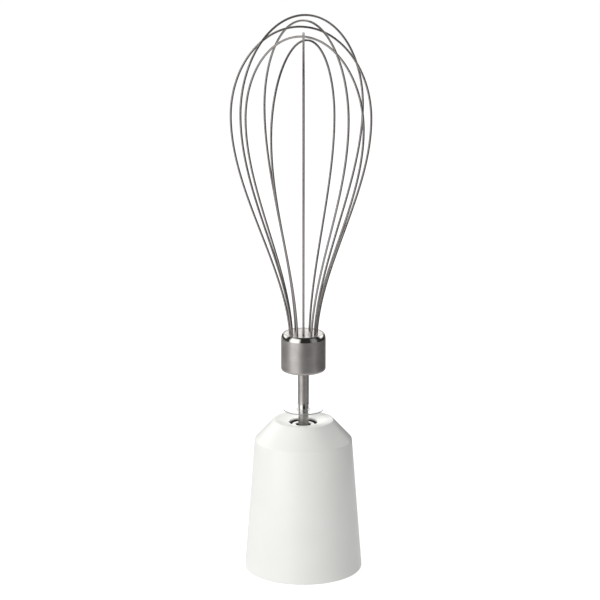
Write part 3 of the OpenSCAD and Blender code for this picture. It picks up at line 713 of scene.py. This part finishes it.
disc_mesh = turned_mesh("clear_splash_disc", [
    (DISC_BORE_R, DISC_TOP - DISC_HUB_H, 0.1), (DISC_HUB_R, DISC_TOP - DISC_HUB_H, 0.2),
    (DISC_HUB_R, DISC_Z, 0.15), (DISC_R, DISC_Z, 0.12),
    (DISC_R, DISC_TOP - SHOULDER_GAP, 0.12), (DISC_BORE_R, DISC_TOP - SHOULDER_GAP, 0),
], sides=160, steps=5)
disc = new_piece("clear_splash_disc", disc_mesh, clear, frosted)
for face in disc_mesh.polygons:
    rim_distance = DISC_R - math.hypot(face.center.x, face.center.y) / MM
    face.material_index = 1 if rim_distance < FROSTED_W else 0
disc.visible_shadow = False
fit(disc, "whisk", "clear_polycarbonate", "splash_disc")

# ---- Ferrule ----
# A turned stainless cup that gathers the wires. Its side and top are brushed round, between
# them is a slightly crowned, polished bevel, and it is pressed and soldered onto the shaft.

FERRULE_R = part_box("ferrule")[1].x / MM
FERRULE_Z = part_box("ferrule")[0].z / MM
FERRULE_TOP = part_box("ferrule")[1].z / MM
FERRULE_BEVEL_W = 0.9
FERRULE_BEVEL_H = 2.3
FERRULE_LAND_W = 0.54
FERRULE_MOUTH_R = FERRULE_R - FERRULE_BEVEL_W - FERRULE_LAND_W
FERRULE_FLOOR = 2.5
BEVEL_CROWN_IN = 0.22
BEVEL_CROWN_UP = 1.25
BEVEL_CROWN_ROUND = 3.5
BEVEL_Z = FERRULE_TOP - FERRULE_BEVEL_H

cup_mesh = turned_mesh("wire_ferrule", [
    (SHAFT_R, FERRULE_Z, 0.2), (FERRULE_R, FERRULE_Z, 1.3),
    (FERRULE_R, BEVEL_Z, 0.3),
    (FERRULE_R - BEVEL_CROWN_IN, BEVEL_Z + BEVEL_CROWN_UP, BEVEL_CROWN_ROUND),
    (FERRULE_R - FERRULE_BEVEL_W, FERRULE_TOP, 0.25),
    (FERRULE_MOUTH_R, FERRULE_TOP, 0.1), (FERRULE_MOUTH_R, FERRULE_Z + FERRULE_FLOOR, 0),
    (SHAFT_R, FERRULE_Z + FERRULE_FLOOR, 0)], sides=256, steps=10)
cup = new_piece("wire_ferrule", cup_mesh, brushed_stainless, polished_stainless)
for face in cup_mesh.polygons:
    radius = math.hypot(face.center.x, face.center.y) / MM
    is_bevel = face.center.z > BEVEL_Z * MM and radius > FERRULE_R - FERRULE_BEVEL_W
    face.material_index = 1 if is_bevel else 0
fit(cup, "whisk", "brushed_stainless", "ferrule")

# ---- Wire plug ----
# The stainless face that closes the ferrule, bored for the twelve wire ends and soldered
# flush. It is faced on the lathe, so it is bright but satin, with fine rings.

faced_stainless = turned_metal("stainless_faced", "#DCD9D5", "#CBC8C4", 0.33, 0.3, 0.002, 30)
fit(smooth_copy("wire_ferrule_face", "wire_plug", faced_stainless), "whisk",
    "polished_stainless", "wire_plug")

# ---- Wire loops ----
# Six loops of hard-drawn stainless spring wire, 1 mm thick. Each is bent by hand round a
# former, so heights, widths and leans differ, and its two ends are set in the ferrule.

WIRE_R = 0.5
FOOT_R = 6.05
FOOT_DEPTH = 11.0
PLUG_DROP = 0.1
BALLOON_H = 144.0
WIDEST_SHARE = 0.708
NECK_BLEND = 0.82
FOOT_PART = 0.06
NECK_PART = 0.56
WIRE_POINTS = 181
WIRE_SIDES = 16
# Each loop: angle in degrees, drop below the tallest, half width, lean along it and across it.
LOOPS = [
    (0, 5.6, 31, -1.1, 0.2),
    (31, 0, 31.4, -1.8, -2.2),
    (63, 11.3, 30.8, -1.5, -0.8),
    (90, 8.7, 30.6, 0, 0),
    (126, 2.7, 31.4, -1.5, 0),
    (149, 10.1, 30.4, 0.3, -0.7),
]

# Drawing through a die leaves fine lines along the wire, and a soft mirror across it.
wire_steel, wire_tree = new_material("stainless_wire_drawn")
section = add_node(wire_tree, "ShaderNodeAttribute", attribute_name="section").outputs["Vector"]
along = add_node(wire_tree, "ShaderNodeAttribute", attribute_name="along").outputs["Fac"]
draw_axis = add_node(wire_tree, "ShaderNodeCombineXYZ", [("Z", along)])
draw_place = add_node(wire_tree, "ShaderNodeVectorMath", [
    (0, section), (1, draw_axis.outputs[0])], operation="ADD")
draw_lines = add_node(wire_tree, "ShaderNodeTexNoise", [
    ("Vector", draw_place.outputs[0]), ("Scale", 6), ("Detail", 4), ("Roughness", 0.6)])
wire_colour = add_node(wire_tree, "ShaderNodeMix", [
    ("Factor", draw_lines.outputs["Fac"]), ("A", linear("#AFAAA8")), ("B", linear("#918C89"))],
    data_type="RGBA")
wire_gloss = add_node(wire_tree, "ShaderNodeMapRange", [
    ("Value", draw_lines.outputs["Fac"]), ("From Min", NOISE_LOW), ("From Max", NOISE_HIGH),
    ("To Min", 0.28), ("To Max", 0.34)])
wire_relief = add_node(wire_tree, "ShaderNodeBump", [
    ("Strength", 0.2), ("Distance", 0.002 * MM), ("Height", draw_lines.outputs["Fac"])])
wire_shader = add_node(wire_tree, "ShaderNodeBsdfPrincipled", [
    ("Base Color", wire_colour.outputs["Result"]), ("Metallic", 1),
    ("Roughness", wire_gloss.outputs["Result"]), ("Normal", wire_relief.outputs["Normal"])])
add_node(wire_tree, "ShaderNodeOutputMaterial", [("Surface", wire_shader.outputs["BSDF"])])

# Half of a loop rises straight through its foot, swells along an S curve to its widest point,
# and closes over the top in a quarter ellipse. The two halves mirror each other, then lean.
loop_tree = bpy.data.node_groups.new("bent_wire_loop", "GeometryNodeTree")
for label in ("angle", "height", "half width", "lean along", "lean across", "foot radius",
              "foot depth", "widest share", "neck blend", "base height", "wire radius"):
    loop_tree.interface.new_socket(name=label, in_out="INPUT", socket_type="NodeSocketFloat")
for label in ("points", "sides"):
    loop_tree.interface.new_socket(name=label, in_out="INPUT", socket_type="NodeSocketInt")
loop_tree.interface.new_socket(name="Geometry", in_out="OUTPUT", socket_type="NodeSocketGeometry")
given = add_node(loop_tree, "NodeGroupInput").outputs
values = {socket.name: socket for socket in given if socket.name}
values["way"] = add_node(loop_tree, "GeometryNodeSplineParameter").outputs["Factor"]
for name, operation, *terms in [
        ("signed way", "MULTIPLY_ADD", "way", 2, -1),
        ("side", "SIGN", "signed way"),
        ("from middle", "ABSOLUTE", "signed way"),
        ("rise", "SUBTRACT", 1, "from middle"),
        ("below", "DIVIDE", "rise", FOOT_PART),
        ("foot left", "SUBTRACT", 1, "below"),
        ("foot share", "MAXIMUM", "foot left", 0),
        ("above foot", "SUBTRACT", "rise", FOOT_PART),
        ("neck way", "DIVIDE", "above foot", NECK_PART),
        ("neck started", "MAXIMUM", "neck way", 0),
        ("neck share", "MINIMUM", "neck started", 1),
        ("above neck", "SUBTRACT", "above foot", NECK_PART),
        ("crown way", "DIVIDE", "above neck", 1 - FOOT_PART - NECK_PART),
        ("crown share", "MAXIMUM", "crown way", 0),
        ("crown angle", "MULTIPLY", "crown share", math.pi / 2),
        ("crown cosine", "COSINE", "crown angle"),
        ("crown sine", "SINE", "crown angle"),
        ("widest height", "MULTIPLY", "height", "widest share"),
        ("crown height", "SUBTRACT", "height", "widest height"),
        ("square", "MULTIPLY", "neck share", "neck share"),
        ("slope", "MULTIPLY_ADD", "neck share", -2, 3),
        ("smooth", "MULTIPLY", "square", "slope"),
        ("neck angle", "MULTIPLY", "neck share", math.pi / 2),
        ("neck sine", "SINE", "neck angle"),
        ("smooth less sine", "SUBTRACT", "smooth", "neck sine"),
        ("swell", "MULTIPLY_ADD", "smooth less sine", "neck blend", "neck sine"),
        ("reach", "SUBTRACT", "half width", "foot radius"),
        ("neck radius", "MULTIPLY_ADD", "reach", "swell", "foot radius"),
        ("radius", "MULTIPLY", "neck radius", "crown cosine"),
        ("foot drop", "MULTIPLY", "foot share", "foot depth"),
        ("neck rise", "MULTIPLY", "neck share", "widest height"),
        ("level", "MULTIPLY_ADD", "crown height", "crown sine", "neck rise"),
        ("lean share", "DIVIDE", "level", "widest height"),
        ("sideways", "MULTIPLY", "side", "radius"),
        ("x", "MULTIPLY_ADD", "lean along", "lean share", "sideways"),
        ("y", "MULTIPLY", "lean across", "lean share"),
        ("above base", "SUBTRACT", "level", "foot drop"),
        ("z", "ADD", "above base", "base height"),
]:
    sum_inputs = [(i, values.get(term, term)) for i, term in enumerate(terms)]
    values[name] = add_node(
        loop_tree, "ShaderNodeMath", sum_inputs, operation=operation, label=name).outputs[0]
flat_place = add_node(loop_tree, "ShaderNodeCombineXYZ", [
    ("X", values["x"]), ("Y", values["y"]), ("Z", values["z"])])
wire_place = add_node(loop_tree, "ShaderNodeVectorRotate", [
    ("Vector", flat_place.outputs[0]), ("Angle", values["angle"])], rotation_type="Z_AXIS")
straight = add_node(loop_tree, "GeometryNodeCurvePrimitiveLine")
divided = add_node(loop_tree, "GeometryNodeResampleCurve", [
    ("Curve", straight.outputs["Curve"]), ("Count", values["points"])])
bent = add_node(loop_tree, "GeometryNodeSetPosition", [
    ("Geometry", divided.outputs["Curve"]), ("Position", wire_place.outputs["Vector"])])
length = add_node(loop_tree, "GeometryNodeSplineParameter").outputs["Length"]
measured = add_node(loop_tree, "GeometryNodeStoreNamedAttribute", [
    ("Geometry", bent.outputs["Geometry"]), ("Name", "along"), ("Value", length)],
    data_type="FLOAT", domain="POINT")
round_bar = add_node(loop_tree, "GeometryNodeCurvePrimitiveCircle", [
    ("Resolution", values["sides"]), ("Radius", values["wire radius"])])
bar_place = add_node(loop_tree, "GeometryNodeInputPosition").outputs[0]
bar_unit = add_node(loop_tree, "ShaderNodeVectorMath", [(0, bar_place)], operation="NORMALIZE")
marked_bar = add_node(loop_tree, "GeometryNodeStoreNamedAttribute", [
    ("Geometry", round_bar.outputs["Curve"]), ("Name", "section"),
    ("Value", bar_unit.outputs[0])], data_type="FLOAT_VECTOR", domain="POINT")
drawn = add_node(loop_tree, "GeometryNodeCurveToMesh", [
    ("Curve", measured.outputs["Geometry"]), ("Profile Curve", marked_bar.outputs["Geometry"]),
    ("Fill Caps", True)])
real_wire = add_node(loop_tree, "GeometryNodeRealizeInstances", [("Geometry", drawn.outputs[0])])
painted_wire = add_node(loop_tree, "GeometryNodeSetMaterial", [
    ("Geometry", real_wire.outputs[0]), ("Material", wire_steel)])
add_node(loop_tree, "NodeGroupOutput", [("Geometry", painted_wire.outputs[0])])

for k, (angle, drop, half_width, lean_along, lean_across) in enumerate(LOOPS, 1):
    wire = new_piece(f"balloon_wire_{k}", grown_mesh(f"balloon_wire_{k}", loop_tree, {
        "angle": math.radians(angle), "height": (BALLOON_H - drop) * MM,
        "half width": half_width * MM, "lean along": lean_along * MM,
        "lean across": lean_across * MM, "foot radius": FOOT_R * MM,
        "foot depth": FOOT_DEPTH * MM, "widest share": WIDEST_SHARE, "neck blend": NECK_BLEND,
        "base height": (FERRULE_TOP - PLUG_DROP) * MM, "wire radius": WIRE_R * MM,
        "points": WIRE_POINTS, "sides": WIRE_SIDES}), sharp=50)
    fit(wire, "whisk", "wire_stainless", f"whisk_wire_{k}")

# ---- Floor ----
# A plain white top that glows evenly, as a light table does, so it hardly shows a shadow. The
# steel mirrors it only close to the object: further off, it mirrors the studio's cards.

# The floor's half width and the mirrored part's radius and soft edge are in metres. It throws
# a little less light back at the object than it shows.
FLOOR_HALF = 8.0
FLOOR_BOUNCE = 0.8
FLOOR_SEEN = 0.99
MIRRORED_R = 0.2
MIRROR_FADE = 0.03
floor_mesh = bpy.data.meshes.new("floor")
floor_mesh.from_pydata(
    [(x, y, 0) for x, y in ((-1, -1), (1, -1), (1, 1), (-1, 1))], [], [(0, 1, 2, 3)])
floor_mesh.transform(Matrix.Scale(FLOOR_HALF, 4))
floor = bpy.data.objects.new("floor", floor_mesh)
bpy.context.scene.collection.objects.link(floor)
floor_white, floor_tree = new_material("table_top_white_painted")
floor_place = add_node(floor_tree, "ShaderNodeTexCoord").outputs["Object"]
floor_distance = add_node(
    floor_tree, "ShaderNodeVectorMath", [(0, floor_place)], operation="LENGTH")
floor_ray = add_node(floor_tree, "ShaderNodeLightPath").outputs
floor_level = add_node(floor_tree, "ShaderNodeMapRange", [
    ("Value", floor_ray["Is Camera Ray"]), ("To Min", FLOOR_BOUNCE), ("To Max", FLOOR_SEEN)])
floor_glow = add_node(floor_tree, "ShaderNodeEmission", [
    ("Color", linear("#FFFFFF")), ("Strength", floor_level.outputs["Result"])])
floor_skin = add_node(floor_tree, "ShaderNodeBsdfDiffuse", [("Color", linear("#909090"))])
floor_sum = add_node(floor_tree, "ShaderNodeAddShader", [
    (0, floor_glow.outputs[0]), (1, floor_skin.outputs[0])])
floor_near = add_node(floor_tree, "ShaderNodeMapRange", [
    ("Value", floor_distance.outputs["Value"]), ("From Min", MIRRORED_R + MIRROR_FADE),
    ("From Max", MIRRORED_R - MIRROR_FADE)], interpolation_type="SMOOTHSTEP")
floor_gap = add_node(floor_tree, "ShaderNodeBsdfTransparent")
floor_mirrored = add_node(floor_tree, "ShaderNodeMixShader", [
    (0, floor_near.outputs["Result"]), (1, floor_gap.outputs[0]), (2, floor_glow.outputs[0])])
floor_whole = add_node(floor_tree, "ShaderNodeMixShader", [
    (0, floor_ray["Is Glossy Ray"]), (1, floor_sum.outputs[0]), (2, floor_mirrored.outputs[0])])
add_node(floor_tree, "ShaderNodeOutputMaterial", [("Surface", floor_whole.outputs[0])])
floor_mesh.materials.append(floor_white)
floor.visible_transmission = False

# ---- Surroundings ----
# A dark studio, for the steel to mirror: a tall softbox at the front left, dim grey cards at
# the right, low at the left, low behind and overhead, and a white screen high behind.

# Each card: azimuth, half width, lowest and highest, in degrees, and brightness. Azimuth 0 is
# the front, and a positive one is at the right.
CARDS = [
    (-47, 27, -40, 42, 1.6),
    (57, 16, -60, 40, 0.3),
    (180, 75, 11, 48, 1.5),
    (-115, 38, -60, -6, 0.36),
    (180, 35, -60, -6, 0.35),
    (0, 200, 60, 100, 0.4),
]
CARD_EDGE = 9.0
DARK = 0.03
MATT_SKY = 0.05
world = bpy.data.worlds.new("studio")
bpy.context.scene.world = world
world.use_nodes = True
sky = world.node_tree
sky.nodes.clear()
direction = add_node(sky, "ShaderNodeTexCoord").outputs["Generated"]
parts = add_node(sky, "ShaderNodeSeparateXYZ", [("Vector", direction)]).outputs
height_angle = add_node(sky, "ShaderNodeMath", [(0, parts["Z"])], operation="ARCSINE")
light_sum = None
for azimuth, half_width, low, high, brightness in CARDS:
    turned_back = add_node(sky, "ShaderNodeVectorRotate", [
        ("Vector", direction), ("Angle", math.radians(-azimuth))], rotation_type="Z_AXIS")
    own = add_node(sky, "ShaderNodeSeparateXYZ", [("Vector", turned_back.outputs[0])]).outputs
    ahead = add_node(sky, "ShaderNodeMath", [(0, own["Y"]), (1, -1)], operation="MULTIPLY")
    off_axis = add_node(sky, "ShaderNodeMath", [(0, own["X"]), (1, ahead.outputs[0])],
                        operation="ARCTAN2")
    off_size = add_node(sky, "ShaderNodeMath", [(0, off_axis.outputs[0])], operation="ABSOLUTE")
    across = add_node(sky, "ShaderNodeMapRange", [
        ("Value", off_size.outputs[0]), ("From Min", math.radians(half_width + CARD_EDGE)),
        ("From Max", math.radians(half_width - CARD_EDGE))], interpolation_type="SMOOTHSTEP")
    above_low = add_node(sky, "ShaderNodeMapRange", [
        ("Value", height_angle.outputs[0]), ("From Min", math.radians(low - CARD_EDGE / 2)),
        ("From Max", math.radians(low + CARD_EDGE / 2))], interpolation_type="SMOOTHSTEP")
    below_high = add_node(sky, "ShaderNodeMapRange", [
        ("Value", height_angle.outputs[0]), ("From Min", math.radians(high + CARD_EDGE)),
        ("From Max", math.radians(high - CARD_EDGE))], interpolation_type="SMOOTHSTEP")
    upright = add_node(sky, "ShaderNodeMath", [
        (0, above_low.outputs[0]), (1, below_high.outputs[0])], operation="MULTIPLY")
    card = add_node(sky, "ShaderNodeMath", [
        (0, across.outputs[0]), (1, upright.outputs[0])], operation="MULTIPLY")
    light_sum = add_node(sky, "ShaderNodeMath", [
        (0, card.outputs[0]), (1, brightness), (2, light_sum or DARK)],
        operation="MULTIPLY_ADD").outputs[0]

# Steel mirrors the cards and matt surfaces get an even, dim sky. Behind the object, and seen
# straight through the clear disc, is a plain white backdrop.
ray = add_node(sky, "ShaderNodeLightPath").outputs
seen_by_gloss = add_node(sky, "ShaderNodeBackground", [("Strength", light_sum)])
seen_by_matt = add_node(sky, "ShaderNodeBackground", [("Strength", MATT_SKY)])
backdrop = add_node(sky, "ShaderNodeBackground", [("Strength", 1.0)])
for node in (seen_by_gloss, seen_by_matt, backdrop):
    node.inputs["Color"].default_value = (1, 1, 1, 1)
lit = add_node(sky, "ShaderNodeMixShader", [
    (0, ray["Is Diffuse Ray"]), (1, seen_by_gloss.outputs[0]), (2, seen_by_matt.outputs[0])])
unmirrored = add_node(sky, "ShaderNodeMath", [(0, ray["Glossy Depth"]), (1, 0.5)],
                      operation="LESS_THAN")
through_disc = add_node(sky, "ShaderNodeMath", [
    (0, ray["Is Transmission Ray"]), (1, unmirrored.outputs[0])], operation="MULTIPLY")
clear_way = add_node(sky, "ShaderNodeMath", [
    (0, ray["Is Camera Ray"]), (1, through_disc.outputs[0])], operation="MAXIMUM")
whole = add_node(sky, "ShaderNodeMixShader", [
    (0, clear_way.outputs[0]), (1, lit.outputs[0]), (2, backdrop.outputs[0])])
add_node(sky, "ShaderNodeOutputWorld", [("Surface", whole.outputs[0])])
world.cycles.sampling_method = "NONE"

# ---- Lights ----
# Four softboxes of one size just over a metre off: a key high at the front left, one over it,
# one behind at the left, and a weak fill at the right. The steel mirrors only the cards above.

AIM = Vector((0, 0, 0.06))
SOFTBOX_DISTANCE = 1.1
SOFTBOX_W = 0.8
SOFTBOX_H = 0.7
# Each light: name, azimuth and height in degrees, and power in watts.
for name, azimuth, height, power in (
        ("key_softbox", -45, 40, 8.1),
        ("top_softbox", -50, 68, 2.2),
        ("fill_card", 30, 38, 0.7),
        ("back_softbox", -145, 45, 4.6)):
    lamp = bpy.data.lights.new(name, "AREA")
    lamp.shape = "RECTANGLE"
    lamp.size = SOFTBOX_W
    lamp.size_y = SOFTBOX_H
    lamp.energy = power
    holder = bpy.data.objects.new(name, lamp)
    bpy.context.scene.collection.objects.link(holder)
    az, el = math.radians(azimuth), math.radians(height)
    away = Vector((math.sin(az) * math.cos(el), -math.cos(az) * math.cos(el), math.sin(el)))
    holder.location = AIM + away * SOFTBOX_DISTANCE
    holder.rotation_euler = away.to_track_quat("Z", "Y").to_euler()
    holder.visible_glossy = False

# ---- Camera ----
# A metre in front and a little above the top of the balloon, looking slightly down through a
# long lens.

CAMERA_PLACE = (-1.54 * MM, -1015.2 * MM, 381.6 * MM)
CAMERA_TILT = 14.12
CAMERA_LENS = 139.67
SENSOR = 36.0
lens = bpy.data.cameras.new("camera")
lens.sensor_width = SENSOR
lens.lens = CAMERA_LENS
lens.clip_end = 50
camera = bpy.data.objects.new("camera", lens)
bpy.context.scene.collection.objects.link(camera)
camera.location = CAMERA_PLACE
camera.rotation_euler = (math.radians(90 - CAMERA_TILT), 0, 0)
bpy.context.scene.camera = camera
bpy.context.scene.view_settings.view_transform = "Standard"
